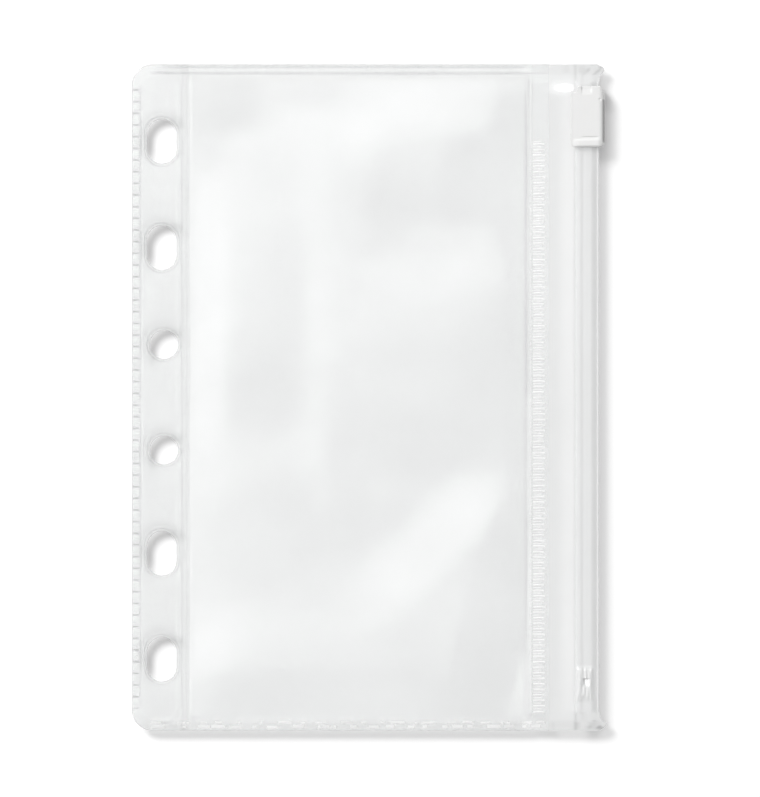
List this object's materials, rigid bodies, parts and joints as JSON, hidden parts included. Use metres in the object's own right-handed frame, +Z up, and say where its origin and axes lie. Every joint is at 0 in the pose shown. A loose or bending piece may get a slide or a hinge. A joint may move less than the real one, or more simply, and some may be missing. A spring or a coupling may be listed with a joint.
{
  "type": "planner zip pocket",
  "caption": "Flat clear plastic pouch for a ring planner, with a punched binding edge, welded seams and a slide zip along the opposite side.",
  "frame": {"origin": "middle of the pocket's outline on the table it lies on", "axes": "+Y along the binding edge and the zip towards the closed slider, +X from the binding edge to the zip, +Z up out of the front film"},
  "size_m": [0.0872, 0.1222, 0.005],
  "materials": {
    "clear_film": "clear soft vinyl sheet, glossy, with embossed weld lines",
    "zip_plastic": "clear extruded vinyl, slightly hazy, glossy",
    "slider_plastic": "natural translucent moulded plastic, satin"
  },
  "bodies": {
    "pocket": {"back_film": "clear_film", "front_film": "clear_film", "zip_back_strip": "zip_plastic", "zip_front_strip": "zip_plastic"},
    "zip_slider": {"slider": "slider_plastic"}
  },
  "joints": [
    {"name": "slider_slide", "type": "slide", "parent": "pocket", "child": "zip_slider", "axis": [0, -1, 0], "range_m": [0, 0.0948]}
  ]
}
